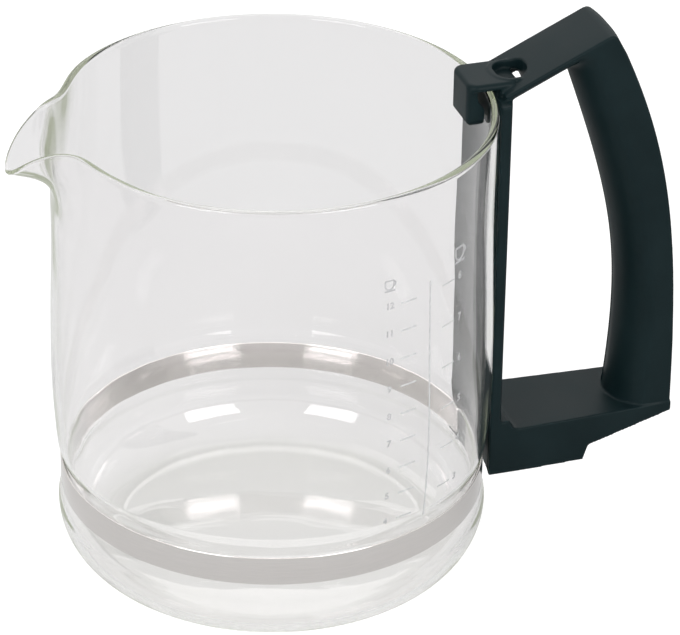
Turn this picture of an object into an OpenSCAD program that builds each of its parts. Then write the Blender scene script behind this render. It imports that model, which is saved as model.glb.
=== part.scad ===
// Glass coffee server for a hot-plate coffee maker: a blown jug with a pulled spout, a steel
// clamp band round its waist and a moulded handle drawn on to the band by one screw.
// Origin: centre of the base, on the plane it stands on. +Z up, handle towards +X, spout -X.

/* [Jug] */
// Height of the jug to the top of its rim
jug_h = 140; // [120:1:180]
// Outer radius of the upper wall
jug_r = 62.1; // [52:0.1:75]
// How far the belly swells past the upper wall
belly_swell = 0.95; // [0.4:0.05:2]
// Height of the widest part of the belly
belly_z = 62; // [48:1:80]
// How far the heel, above the bottom corner, draws in from the upper wall
heel_draw = 0.3; // [0:0.05:0.8]
// How far the waist draws in from the upper wall
waist_draw = 0.65; // [0.4:0.05:1.2]
// Thickness of the glass
wall = 2; // [1.5:0.1:3]
// Outer radius of the bottom corner
corner_r = 17; // [10:0.5:20.5]
// Width of the flat ring that the jug stands on
foot_ring_w = 6.8; // [3:0.1:12]
// Rise of the base inside the flat ring
base_rise = 0.8; // [0.3:0.1:2]

/* [Rim and spout] */
// Section radius of the fire-polished rim
bead_r = 1.45; // [1.1:0.05:1.9]
// Depth below the rim at which the wall starts to leave the round
spout_depth = 28; // [22:1:36]
// How far the spout reaches out past the rim
spout_reach = 13.7; // [8:0.1:18]
// Half angle over which the spout dies away
spout_angle = 11; // [8:0.5:16]
// Drop of the spout's tip below the rim
spout_drop = 7.7; // [4:0.1:10]
// Half angle of the dip at the tip
drop_angle = 6.5; // [5:0.5:9]
// Rise of the two shoulders beside the spout
shoulder_rise = 2.4; // [0:0.1:4]
// Angle of each shoulder from the spout's middle
shoulder_angle = 15; // [13:0.5:20]
// How far the rim draws in beside the spout
cheek_draw = 1.4; // [0:0.1:2.5]
// Angle at which the rim is drawn in most
cheek_angle = 29; // [26:0.5:34]

/* [Cup marks] */
// Height of the mark for twelve small cups
small_top_z = 107.4; // [90:0.1:110]
// Distance between two small cup marks
small_pitch = 8.5; // [6:0.1:9]
// Number of small cup marks
small_count = 9; // [4:1:9]
// Height of the mark for eight large cups
large_top_z = 107.4; // [90:0.1:110]
// Distance between two large cup marks
large_pitch = 12.75; // [9:0.05:14]
// Number of large cup marks
large_count = 6; // [3:1:6]
// Length of one cup mark round the wall
mark_len = 5.1; // [3:0.1:7]
// Width of a printed line
mark_w = 0.5; // [0.3:0.05:1]
// Thickness of the fired print
print_t = 0.1; // [0.08:0.01:0.3]
// Gap between the print's solid and the glass
print_gap = 0.05; // [0.04:0.01:0.1]
// Angle of the scale's upright line, from the handle
line_angle = -63.9; // [-75:0.1:-50]
// How far the upright line passes the top mark
line_over = 3.5; // [1:0.1:4]
// How far the upright line passes the bottom mark
line_under = 2.9; // [1:0.1:4]
// Gap between the upright line and the marks on either side
line_gap = 5; // [3:0.1:7]

/* [Clamp band] */
// Height of the band above the base
band_z = 23.25; // [20:0.05:30]
// Width of the band
band_w = 8.55; // [7:0.05:10]
// Thickness of the steel strip
band_t = 0.5; // [0.4:0.05:0.8]
// How far the band's face lies below the waist
band_sink = 0.4; // [0.2:0.05:0.8]
// Width of each ear where it passes into the handle
ear_w = 6.7; // [5:0.05:6.9]
// Half the gap between the two ears
ear_gap = 4.2; // [3.6:0.05:4.8]
// Width of the turned lip at the end of each ear
lip_w = 4; // [3:0.1:5]

/* [Handle grip] */
// Climb of the top arm, in degrees
arm_angle = 25.2; // [15:0.1:32]
// Length of the top arm along its upper edge
arm_len = 35.6; // [30:0.1:45]
// Thickness of the top arm
arm_t = 5.45; // [5:0.05:8]
// Rounding length of the outer top corner
crest_round = 2.5; // [1.5:0.5:6]
// How far the grip's back runs out beyond the top corner
grip_reach = 22.4; // [18:0.1:30]
// Depth of the grip at its root
grip_root_d = 16.2; // [13:0.1:20]
// Length of the arm's underside from its root to the inner corner
throat_len = 21; // [17:0.1:23]
// Rounding length of that inner corner
throat_round = 1.9; // [1:0.1:3]
// Lean of the grip's inner side at its top, in degrees from upright
nose_lean = 19; // [12:1:26]
// Half width of the arm and the top of the grip
grip_top_hw = 10.8; // [9.5:0.1:13]
// Half width of the grip at its root
grip_root_hw = 12.2; // [10:0.1:12.3]
// Depth of the rounded inner side of the grip
nose_d = 8; // [5:0.1:10]
// Crown of the grip's back
crown = 1.3; // [0.6:0.1:1.4]

/* [Strap and foot] */
// Half width of the strap that lies along the glass
strap_hw = 14.5; // [13.5:0.1:17]
// Thickness of the strap at its middle
strap_t = 4.65; // [3.5:0.05:6]
// Thickness of the strap at its edges, measured along the foot
strap_edge_t = 3.1; // [2.5:0.05:3.4]
// Gap between the strap and the widest part of the belly
strap_gap = 0.3; // [0.2:0.05:0.6]
// Height of the foot's top face above the band's upper edge
foot_over = 1.4; // [1.2:0.1:10]
// Depth of the foot's deep underside below the band's lower edge
foot_under = 4.45; // [4.05:0.05:9]
// Free length between the screw's tip and the strap, which sets the length of the foot's deep part
tip_room = 2.25; // [1.9:0.05:8]
// Length of the step up to the thin end
foot_step_len = 1.5; // [0.8:0.1:6]
// Height of that step
foot_step_h = 4.5; // [3.5:0.1:6]
// Thickness of the foot at its outer end
foot_end_t = 2.45; // [2:0.05:4]
// Half width of the foot at its outer end
foot_end_hw = 12.4; // [12.3:0.1:14.4]
// How far the foot stands out past the grip's back
foot_lip = 0.3; // [0.1:0.05:1]
// Distance from the strap's inner face at which the foot starts to narrow
foot_taper_x = 8; // [6:0.5:20]
// Radius of the fillet between the strap and the foot
foot_fillet = 3; // [1.5:0.1:5]
// Distance of the strap's top below the rim
strap_top_drop = 2; // [1.5:0.1:3]

/* [Hook and lid socket] */
// Gap between the hook and the glass
hook_gap = 0.3; // [0.2:0.05:0.5]
// Thickness of the hook's cap over the rim
cap_t = 2; // [1.6:0.1:3.5]
// Half width of the cap
cap_hw = 8; // [7.6:0.1:9.5]
// Corner radius of the cap, seen from above
cap_round = 2.5; // [1.5:0.1:4]
// How far the cap reaches inwards from the strap's inner face
cap_reach = 8.95; // [8:0.05:12]
// Half width of the tongue inside the jug
tongue_hw = 7; // [5:0.1:7.4]
// Thickness of the tongue below the cap
tongue_t = 3; // [2:0.1:3.6]
// Depth of the tongue below the rim
tongue_drop = 11; // [8:0.1:16]
// Radius of the lid socket's two round ends
socket_r = 4.5; // [4:0.1:4.7]
// Half the distance between those round ends
socket_half = 1; // [0.5:0.1:1.6]
// Distance of the socket's middle from the strap's inner face
socket_x = 5.6; // [5.4:0.05:6]
// Depth of the socket below the cap's top
socket_depth = 2.2; // [1.8:0.1:3.2]
// Wall round the socket
socket_wall = 1.4; // [1.2:0.1:1.9]
// How far the socket's wall stands above the cap
socket_lift = 0.3; // [0.1:0.05:0.6]
// Distance of the drain slot's inner side from the socket's middle
drain_inset = 1.8; // [1:0.1:2]
// Length of the drain slot along the arm
drain_len = 2.7; // [2:0.1:2.7]
// Half width of the drain slot across the arm
drain_hw = 5.4; // [4.6:0.1:6.2]

/* [Screw and draw block] */
// Radius of the clamp screw's shank
screw_r = 2; // [1.5:0.05:2.2]
// Length of the screw under its head
screw_len = 20; // [18:0.5:21]
// Radius of the screw's head
head_r = 3.5; // [3:0.05:3.8]
// Thickness of the screw's head
head_t = 2.6; // [2:0.1:3]
// Height of the screw's axis above the band's lower edge
screw_rise = 0.75; // [0.45:0.05:1.35]
// Clearance round the shank in the foot
shank_gap = 0.25; // [0.15:0.05:0.4]
// Clearance of the shank in the draw block's tapped hole
thread_gap = 0.05; // [0.03:0.01:0.08]
// Outer radius of the washer
washer_r = 4; // [3.9:0.05:4.2]
// Thickness of the washer
washer_t = 0.8; // [0.5:0.05:1]
// Clearance round the washer in its seat
seat_gap = 0.3; // [0.2:0.05:0.35]
// Depth of the washer's seat inside the foot's step
seat_inset = 0.5; // [0.2:0.05:1]
// Thickness of the foot's wall under the washer
seat_wall = 4; // [3:0.1:5]
// Room in which the screw can draw the block outwards
draw_room = 5; // [3:0.1:6]
// Length of the draw block
block_len = 8; // [6:0.1:9]
// Half width of the draw block
block_hw = 8.5; // [7.5:0.1:9.4]
// Half width of the pocket under the foot
pocket_hw = 11.3; // [9.8:0.1:11.6]
// Clearance between the draw block and the parts round it
block_gap = 0.4; // [0.2:0.05:0.6]

/* [Hidden] */
$fn = 96;

// Overrun of every cut past the face it leaves through
overrun = 2;

// Numbers of steps along curves
base_steps = 4;
corner_steps = 7;
groove_steps = 5;
wall_steps = 12;
lip_steps = 9;
bead_steps = 8;
rim_half_steps = 37;
arm_steps = 3;
grip_steps = 15;
crown_steps = 6;
nose_steps = 8;
fillet_steps = 6;

// Jug: radii and heights of the blown wall
belly_r = jug_r + belly_swell;
heel_r = jug_r - heel_draw;
waist_r = jug_r - waist_draw;
corner_mid_r = heel_r - corner_r;
ring_in_r = corner_mid_r - foot_ring_w;
band_top_z = band_z + band_w;
band_out_r = waist_r - band_sink;
band_in_r = band_out_r - band_t;
groove_gap = 0.3 * band_t;
groove_r = band_in_r - groove_gap;
groove_ramp = band_w / 4;
groove_low_z = band_z - groove_ramp;
groove_high_z = band_top_z + groove_ramp;
waist_z = band_top_z + groove_ramp / 2;

// Rim: the formed top of the wall starts at the seam and ends in the bead
seam_z = jug_h - spout_depth;
seam_inset = wall / 10;
lip_start_z = seam_z + wall / 2;
bead_z = jug_h - bead_r;
wall_mid_r = jug_r - wall / 2;
bead_mid_r = wall_mid_r + 0.1 * bead_r;
bead_join_angle = 180 - asin(wall / 2 / bead_r);
// Control points of the formed wall's curve, as shares of its height and of the spout's reach
lead_share = 0.33;
spout_lead_share = 0.49;
back_share = 0.71;
fall_share = 0.22;
plain_share = 0.3;
// Exponent that crowds the rim's steps towards the spout
rim_crowding = 1.5;

// Handle: strap, cap and socket
strap_in_r = belly_r + strap_gap;
strap_out_x = strap_in_r + strap_t;
strap_blank_x = 0.9 * strap_in_r;
strap_edge_x = sqrt(pow(strap_in_r, 2) - pow(strap_hw, 2)) + strap_edge_t;
strap_sag = strap_out_x - strap_edge_x;
strap_back_r = (pow(strap_hw, 2) + pow(strap_sag, 2)) / (2 * strap_sag);
strap_top_z = jug_h - strap_top_drop;
foot_top_z = band_top_z + foot_over;
foot_low_z = band_z - foot_under;
cap_low_z = jug_h + hook_gap;
cap_top_z = cap_low_z + cap_t;
cap_mid_z = cap_low_z + cap_t / 2;
cap_in_x = strap_in_r - cap_reach;
neck_in_x = strap_in_r + strap_t / 14;
neck_low_z = strap_top_z - strap_t / 4;
tongue_out_r = jug_r - wall - hook_gap;
tongue_low_z = jug_h - tongue_drop;
tongue_round = 0.8 * tongue_t;
socket_mid_x = strap_in_r + socket_x;
socket_floor_z = cap_top_z - socket_depth;
drain_x = socket_mid_x + drain_inset;

// Handle outline as (distance from the jug's axis, height) pairs: the arm climbs from its root
// to the crest, and the grip's back and inner side run down from there to the foot
arm_inset = strap_t / 7;
arm_dir = [cos(arm_angle), sin(arm_angle)];
arm_under = arm_t * [sin(arm_angle), -cos(arm_angle)];
arm_root = [strap_in_r + arm_inset, jug_h - arm_inset];
crest = arm_root + arm_len * arm_dir;
crest_start = crest - crest_round * arm_dir;
back_foot = [crest[0] + grip_reach, foot_top_z];
back_reach_shares = [0.8, 1.01];
back_height_shares = [0.71, 0.49];
back_curve = [
    crest,
    mix_places(crest, back_foot, back_reach_shares[0], back_height_shares[0]),
    mix_places(crest, back_foot, back_reach_shares[1], back_height_shares[1]),
    back_foot,
];
// Share of the back's curve at which the crest's rounding ends, and at which the turn ends
crest_end_share = crest_round / (3 * norm(back_curve[1] - crest));
turn_end_share = 0.085;
throat = arm_root + arm_under + throat_len * arm_dir;
throat_start = throat - throat_round * arm_dir;
arm_end = throat_start - arm_under;
nose_top = throat + throat_round * [sin(nose_lean), -cos(nose_lean)];
nose_foot = [back_foot[0] - grip_root_d, foot_top_z];
nose_reach_shares = [1.015, 1.27];
nose_height_shares = [0.57, 0.41];
nose_curve = [
    nose_top,
    mix_places(nose_top, nose_foot, nose_reach_shares[0], nose_height_shares[0]),
    mix_places(nose_top, nose_foot, nose_reach_shares[1], nose_height_shares[1]),
    nose_foot,
];
turn_shares = [0.12, 0.25, 0.38, 0.46, 0.54, 0.62, 0.7, 0.85, 1];
turn_bend_shares = [0.38, 0.7];
// Exponent that keeps the back level with the inner side down the grip
grip_pace = 0.77;
grip_sink = foot_end_t / 2;
edge_power = 2.6;

// Foot, pocket and clamp
foot_end_x = back_foot[0] + foot_lip;
foot_crown_r = (pow(foot_end_hw, 2) + pow(crown, 2)) / (2 * crown);
foot_crown_angle = asin(foot_end_hw / foot_crown_r);
pocket_in_x = strap_out_x + strap_t / 3;
head_x = pocket_in_x + tip_room + screw_len;
seat_x = head_x - washer_t;
foot_step_x = seat_x + seat_inset;
foot_thin_z = foot_low_z + foot_step_h;
foot_end_z = foot_top_z - foot_end_t;
foot_mid_z = (foot_top_z + foot_low_z) / 2;
taper_x = strap_in_r + foot_taper_x;
screw_z = band_z + screw_rise;
pocket_out_x = seat_x - seat_wall;
pocket_top_z = band_z + ear_w + block_gap;
block_out_x = pocket_out_x - draw_room;
block_in_x = block_out_x - block_len;
block_low_z = foot_low_z + 2 * block_gap;
block_top_z = band_z + ear_w;
ear_start_x = sqrt(pow(band_in_r, 2) - pow(ear_gap, 2));
ear_end_x = block_out_x + band_t;

// Point a share t of the way from a to b
function mix(a, b, t) = a + (b - a) * t;
// Place whose reach and height go from a to b by separate shares; heights are shares from b up
function mix_places(a, b, reach_share, height_share) =
    [mix(a[0], b[0], reach_share), mix(b[1], a[1], height_share)];
// Cubic and quadratic curves through their end points
function bezier(p, t) =
    pow(1 - t, 3) * p[0] + 3 * t * pow(1 - t, 2) * p[1]
    + 3 * t * t * (1 - t) * p[2] + pow(t, 3) * p[3];
function bend(a, b, c, t) = pow(1 - t, 2) * a + 2 * t * (1 - t) * b + t * t * c;
// Smooth step from 0 to 1
function ease(t) = t <= 0 ? 0 : t >= 1 ? 1 : (1 - cos(180 * t)) / 2;
// Bell curve of half width w
function bell(a, w) = exp(-pow(a / w, 2));
// Points along an arc in a plane
function arc(middle, r, from, to, steps) =
    [for (i = [0:steps]) middle + r * [cos(mix(from, to, i / steps)), sin(mix(from, to, i / steps))]];

// Outer radius of the blown wall without the groove of the band
function plain_r(z) =
    z < waist_z ? mix(heel_r, waist_r, (z - corner_r) / (waist_z - corner_r))
    : z < belly_z ? mix(waist_r, belly_r, sin(90 * (z - waist_z) / (belly_z - waist_z)))
    : mix(belly_r, jug_r, ease((z - belly_z) / (seam_z - belly_z)));
// Depth of the groove as a share from 0 to 1
function groove_share(z) =
    let (ramp = groove_ramp - groove_gap)
    min(ease((z - groove_low_z) / ramp), ease((groove_high_z - z) / ramp));
function outer_r(z) = mix(plain_r(z), groove_r, groove_share(z));
wall_heights = concat(
    [for (i = [0:groove_steps]) mix(groove_low_z, band_z - groove_gap, i / groove_steps)],
    [for (i = [0:groove_steps]) mix(band_top_z + groove_gap, groove_high_z, i / groove_steps)],
    [for (i = [1:wall_steps]) mix(groove_high_z, seam_z, i / wall_steps)]
);
function base_z(r) = base_rise * (1 - pow(r / ring_in_r, 2));
// Half outline of the jug's body: shift 0 gives the outer side, the wall's thickness the inner
function body_side(shift) = concat(
    [for (i = [0:base_steps]) [ring_in_r * i / base_steps, base_z(ring_in_r * i / base_steps) + shift]],
    arc([corner_mid_r, corner_r], corner_r - shift, -90, 0, corner_steps),
    [for (z = wall_heights) [outer_r(z) - shift, z]]
);
function reversed(list) = [for (i = [len(list) - 1:-1:0]) list[i]];

// Formed top of the wall at an angle from the spout's middle
function spout_share(a) = bell(a, spout_angle);
function bead_place(a) = [
    bead_mid_r + spout_reach * spout_share(a) - cheek_draw * bell(abs(a) - cheek_angle, spout_angle),
    bead_z + shoulder_rise * bell(abs(a) - shoulder_angle, spout_angle * 0.7)
        - spout_drop * bell(a, drop_angle),
];
function lip_curve(a) = [
    [wall_mid_r, lip_start_z],
    [wall_mid_r, mix(lip_start_z, bead_place(a)[1], lead_share + spout_lead_share * spout_share(a))],
    bead_place(a) - [
        back_share * spout_reach * spout_share(a),
        fall_share * spout_reach * spout_share(a)
            + plain_share * (bead_z - lip_start_z) * (1 - spout_share(a)),
    ],
    bead_place(a),
];
// Unit vector along a curve, and the one square to it that points out of the jug
function along(p, t) =
    let (d = pow(1 - t, 2) * (p[1] - p[0]) + 2 * t * (1 - t) * (p[2] - p[1]) + t * t * (p[3] - p[2]))
        d / norm(d);
function across(d) = [d[1], -d[0]];
function lip_side(p, side) = [
    for (i = [0:lip_steps - 1])
        bezier(p, i / lip_steps) + side * wall / 2 * across(along(p, i / lip_steps)),
];
function bead_turn(p) = let (d = along(p, 1)) [
    for (i = [0:bead_steps])
        let (a = mix(bead_join_angle, -bead_join_angle, i / bead_steps))
            p[3] + bead_r * (cos(a) * d + sin(a) * across(d)),
];
function rim_section(a) = let (p = lip_curve(a)) concat(
    [for (z = [seam_z - wall, seam_z + seam_inset]) [jug_r - seam_inset, z]],
    lip_side(p, 1),
    bead_turn(p),
    reversed(lip_side(p, -1)),
    [for (z = [seam_z + seam_inset, seam_z - wall]) [jug_r - wall + seam_inset, z]]
);
rim_angles = [
    for (i = [-rim_half_steps:rim_half_steps - 1])
        let (u = i / rim_half_steps) 180 * sign(u) * pow(abs(u), rim_crowding),
];

// Solid through a list of closed sections with equal numbers of points
module loft(sections, closed) {
    count = len(sections);
    size = len(sections[0]);
    last = closed ? count - 1 : count - 2;
    sides = [
        for (i = [0:last], j = [0:size - 1])
            let (
                a = i * size + j,
                b = i * size + (j + 1) % size,
                c = (i + 1) % count * size + (j + 1) % size,
                d = (i + 1) % count * size + j
            )
            each [[a, b, c], [a, c, d]],
    ];
    caps = closed ? [] : [
        [for (j = [size - 1:-1:0]) j],
        [for (j = [0:size - 1]) (count - 1) * size + j],
    ];
    polyhedron([for (s = sections) each s], concat(sides, caps), convexity = 10);
}

module glass_jug() {
    color("lightcyan") {
        rotate_extrude() polygon(concat(body_side(0), reversed(body_side(wall))));
        loft(
            [for (a = rim_angles) [for (p = rim_section(a)) [-p[0] * cos(a), -p[0] * sin(a), p[1]]]],
            true
        );
    }
}

// Angle that a length takes up on the upper wall
function turn_of(length) = length / jug_r * 180 / PI;

module print_strip(from, length, low, high) {
    heights = [for (i = [0:wall_steps]) mix(low, high, i / wall_steps)];
    face = [for (z = heights) [plain_r(z) + print_gap, z]];
    rotate([0, 0, line_angle + turn_of(from)])
        rotate_extrude(angle = turn_of(length))
            polygon(concat(face, [for (p = reversed(face)) p + [print_t, 0]]));
}

module cup_marks(from, top_z, pitch, count) {
    for (i = [0:count - 1])
        print_strip(from, mark_len, top_z - i * pitch - mark_w / 2, top_z - i * pitch + mark_w / 2);
}

module scale_line() {
    low_z = small_top_z - (small_count - 1) * small_pitch - line_under;
    color("darkgray") print_strip(-mark_w / 2, mark_w, low_z, small_top_z + line_over);
}

module small_cup_marks() {
    color("darkgray") cup_marks(-line_gap - mark_len, small_top_z, small_pitch, small_count);
}

module large_cup_marks() {
    color("darkgray") cup_marks(line_gap, large_top_z, large_pitch, large_count);
}

module ear(side) {
    side_y = side < 0 ? -ear_gap - band_t : ear_gap;
    lip_y = side < 0 ? -ear_gap - lip_w : ear_gap;
    translate([ear_start_x, side_y, band_z]) cube([ear_end_x - ear_start_x, band_t, ear_w]);
    translate([block_out_x, lip_y, band_z]) cube([band_t, lip_w, ear_w]);
}

module clamp_band() {
    color("silver") {
        difference() {
            rotate_extrude() translate([band_in_r, band_z]) square([band_t, band_w]);
            translate([0, -ear_gap, band_z - overrun])
                cube([band_out_r + overrun, 2 * ear_gap, band_w + 2 * overrun]);
        }
        ear(-1);
        ear(1);
    }
}

// Outline of the arm and grip: outer edge, inner edge, half width and share of the crown at each
// station; the crown is flat at the socket and full from the arm's end
function turn_outer(t) =
    t < turn_bend_shares[0] ? mix(arm_end, crest_start, t / turn_bend_shares[0])
    : t < turn_bend_shares[1] ? bend(
        crest_start, crest, bezier(back_curve, crest_end_share),
        (t - turn_bend_shares[0]) / (turn_bend_shares[1] - turn_bend_shares[0])
    )
    : let (rest = (t - turn_bend_shares[1]) / (1 - turn_bend_shares[1]))
        bezier(back_curve, mix(crest_end_share, turn_end_share, rest));
stations = concat(
    [
        for (i = [0:arm_steps])
            let (p = mix(arm_root, arm_end, i / arm_steps))
                [p, p + arm_under, grip_top_hw, ease(i / arm_steps)],
    ],
    [for (t = turn_shares) [turn_outer(t), bend(throat_start, throat, nose_top, t), grip_top_hw, 1]],
    [
        for (i = [1:grip_steps])
            let (t = i / grip_steps) [
                bezier(back_curve, mix(turn_end_share, 1, pow(t, grip_pace))),
                bezier(nose_curve, t),
                mix(grip_top_hw, grip_root_hw, t),
                1,
            ],
    ],
    [[back_foot - [0, grip_sink], nose_foot - [0, grip_sink], grip_root_hw, 1]]
);
// Closed section between an outer and an inner place: crowned back, flat sides, round nose
function grip_section(s) =
    let (
        depth = norm(s[1] - s[0]),
        inwards = (s[1] - s[0]) / depth,
        nose = min(nose_d, 0.85 * depth),
        back = [
            for (i = [0:crown_steps])
                let (y = mix(-1, 1, i / crown_steps))
                    [s[3] * crown * (pow(abs(y), edge_power) - 1), y * s[2]],
        ],
        front = [
            for (i = [0:nose_steps])
                let (a = mix(90, -90, i / nose_steps)) [depth - nose + nose * cos(a), s[2] * sin(a)],
        ]
    )
    [for (p = concat(back, front)) [s[0][0] + p[0] * inwards[0], p[1], s[0][1] + p[0] * inwards[1]]];

module arm_and_grip() {
    loft([for (s = stations) grip_section(s)], false);
}

module strap() {
    translate([0, 0, foot_mid_z]) linear_extrude(strap_top_z - foot_mid_z) difference() {
        intersection() {
            translate([strap_out_x - strap_back_r, 0]) circle(strap_back_r);
            translate([strap_blank_x, -strap_hw]) square(2 * strap_hw);
        }
        circle(strap_in_r);
    }
}

// Slab cut to an outline of (x, z) places, centred on the handle's middle plane
module side_slab(outline, half_width) {
    translate([0, half_width, 0]) rotate([90, 0, 0]) linear_extrude(2 * half_width) polygon(outline);
}

module foot() {
    intersection() {
        side_slab(
            concat(
                [
                    [strap_blank_x, foot_low_z],
                    [foot_step_x, foot_low_z],
                    [foot_step_x + foot_step_len, foot_thin_z],
                    [foot_end_x + crown, foot_end_z],
                    [foot_end_x + crown, foot_top_z],
                ],
                arc(
                    [strap_out_x + foot_fillet, foot_top_z + foot_fillet], foot_fillet,
                    270, 180, fillet_steps
                ),
                [[strap_blank_x, foot_top_z + foot_fillet]]
            ),
            strap_hw + overrun
        );
        translate([0, 0, foot_low_z - overrun])
            linear_extrude(foot_top_z - foot_low_z + foot_fillet + 2 * overrun) difference() {
                polygon(concat(
                    [[strap_blank_x, strap_hw], [strap_blank_x, -strap_hw], [taper_x, -strap_hw]],
                    arc(
                        [foot_end_x + crown - foot_crown_r, 0], foot_crown_r,
                        -foot_crown_angle, foot_crown_angle, 2 * fillet_steps
                    ),
                    [[taper_x, strap_hw]]
                ));
                circle(strap_in_r);
            }
    }
}

module cap_over_rim() {
    turn_x = cap_in_x + cap_round;
    turn_y = cap_hw - cap_round;
    translate([0, 0, cap_low_z]) linear_extrude(cap_t) polygon(concat(
        [[strap_out_x, cap_hw]],
        arc([turn_x, turn_y], cap_round, 90, 180, fillet_steps),
        arc([turn_x, -turn_y], cap_round, 180, 270, fillet_steps),
        [[strap_out_x, -cap_hw]]
    ));
    translate([neck_in_x, -cap_hw, neck_low_z])
        cube([strap_out_x - neck_in_x, 2 * cap_hw, cap_mid_z - neck_low_z]);
}

module tongue() {
    intersection() {
        side_slab(
            concat(
                [
                    [cap_in_x + tongue_t, cap_mid_z],
                    [cap_in_x, cap_mid_z],
                ],
                arc(
                    [cap_in_x + tongue_round, tongue_low_z + tongue_round], tongue_round,
                    180, 270, fillet_steps
                ),
                [
                    [tongue_out_r + overrun, tongue_low_z + tongue_round / 2],
                    [tongue_out_r + overrun, tongue_low_z + tongue_round],
                    [cap_in_x + tongue_t, cap_low_z - tongue_t],
                ]
            ),
            tongue_hw
        );
        cylinder(h = cap_top_z, r = tongue_out_r);
    }
}

module socket_outline(r) {
    for (side = [-1, 1])
        translate([socket_mid_x, side * socket_half]) circle(r);
    translate([socket_mid_x - r, -socket_half]) square([2 * r, 2 * socket_half]);
}

module collar() {
    translate([0, 0, cap_mid_z]) linear_extrude(cap_top_z + socket_lift - cap_mid_z)
        socket_outline(socket_r + socket_wall);
}

module handle() {
    color([0.12, 0.14, 0.14]) difference() {
        union() {
            arm_and_grip();
            strap();
            foot();
            cap_over_rim();
            tongue();
            collar();
        }
        translate([0, 0, socket_floor_z]) linear_extrude(socket_depth + overrun + arm_t)
            socket_outline(socket_r);
        translate([drain_x, -drain_hw, socket_floor_z - arm_t]) cube([drain_len, 2 * drain_hw, arm_t]);
        translate([pocket_in_x, -pocket_hw, foot_low_z - overrun])
            cube([pocket_out_x - pocket_in_x, 2 * pocket_hw, pocket_top_z - foot_low_z + overrun]);
        translate([strap_blank_x, -ear_gap - band_t - block_gap, band_z - block_gap])
            cube([
                pocket_in_x - strap_blank_x + overrun,
                2 * (ear_gap + band_t + block_gap),
                ear_w + 2 * block_gap,
            ]);
        translate([pocket_out_x - overrun, 0, screw_z]) rotate([0, 90, 0])
            cylinder(h = seat_wall + 2 * overrun, r = screw_r + shank_gap);
        translate([seat_x, 0, screw_z]) rotate([0, 90, 0])
            cylinder(h = foot_end_x - seat_x + overrun, r = washer_r + seat_gap);
    }
}

module draw_block() {
    color("dimgray") difference() {
        translate([block_in_x, -block_hw, block_low_z])
            cube([block_len, 2 * block_hw, block_top_z - block_low_z]);
        for (side_y = [-ear_gap - band_t - thread_gap, ear_gap - thread_gap])
            translate([block_in_x - overrun, side_y, band_z - thread_gap])
                cube([block_len + 2 * overrun, band_t + 2 * thread_gap, ear_w + overrun]);
        translate([block_in_x - overrun, 0, screw_z]) rotate([0, 90, 0])
            cylinder(h = block_len + 2 * overrun, r = screw_r + thread_gap);
    }
}

module clamp_screw() {
    rim_t = 0.45 * head_t;
    slot_w = head_r / 4;
    slot_len = 1.1 * head_r;
    slot_depth = 0.55 * head_t;
    tip = screw_r / 5;
    color("lightgray") translate([head_x, 0, screw_z]) rotate([0, 90, 0]) difference() {
        rotate_extrude() polygon(concat(
            [
                [0, -screw_len], [screw_r - tip, -screw_len], [screw_r, tip - screw_len],
                [screw_r, 0], [head_r, 0],
            ],
            [
                for (i = [0:fillet_steps])
                    let (a = 90 * i / fillet_steps) [head_r * cos(a), rim_t + (head_t - rim_t) * sin(a)],
            ]
        ));
        for (turn = [0, 90])
            rotate([0, 0, turn]) translate([-slot_len / 2, -slot_w / 2, head_t - slot_depth])
                cube([slot_len, slot_w, slot_depth + overrun]);
    }
}

module clamp_washer() {
    color("silver") translate([seat_x, 0, screw_z]) rotate([0, 90, 0]) difference() {
        cylinder(h = washer_t, r = washer_r);
        translate([0, 0, -overrun]) cylinder(h = washer_t + 2 * overrun, r = screw_r + shank_gap);
    }
}

glass_jug();
scale_line();
small_cup_marks();
large_cup_marks();
clamp_band();
handle();
draw_block();
clamp_screw();
clamp_washer();
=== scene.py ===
import math

import bmesh
import bpy
import numpy as np
from mathutils import Matrix, Vector


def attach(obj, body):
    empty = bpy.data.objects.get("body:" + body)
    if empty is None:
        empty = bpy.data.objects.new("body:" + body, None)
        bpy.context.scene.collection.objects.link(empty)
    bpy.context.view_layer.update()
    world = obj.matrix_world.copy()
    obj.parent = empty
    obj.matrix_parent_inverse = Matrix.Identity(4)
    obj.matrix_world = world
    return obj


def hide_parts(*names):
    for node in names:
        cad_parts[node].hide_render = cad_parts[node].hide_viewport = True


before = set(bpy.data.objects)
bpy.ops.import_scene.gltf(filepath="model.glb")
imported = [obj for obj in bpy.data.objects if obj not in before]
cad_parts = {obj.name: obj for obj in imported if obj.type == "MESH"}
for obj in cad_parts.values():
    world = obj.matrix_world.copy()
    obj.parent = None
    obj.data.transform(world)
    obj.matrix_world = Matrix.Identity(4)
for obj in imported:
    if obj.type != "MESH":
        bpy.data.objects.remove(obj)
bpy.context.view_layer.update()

# Sizes are in millimetres, as in the CAD, and become metres when a piece is added to the scene.
# Names end in R for a radius, X and Z for a place, H, W, HW, D and T for a height, width, half
# width, depth and thickness.
MM = 0.001
# How far blanks and cutters reach past the shape that they make, and into one another.
OVER = 2.0
CUT_OVERLAP = 0.01

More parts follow.
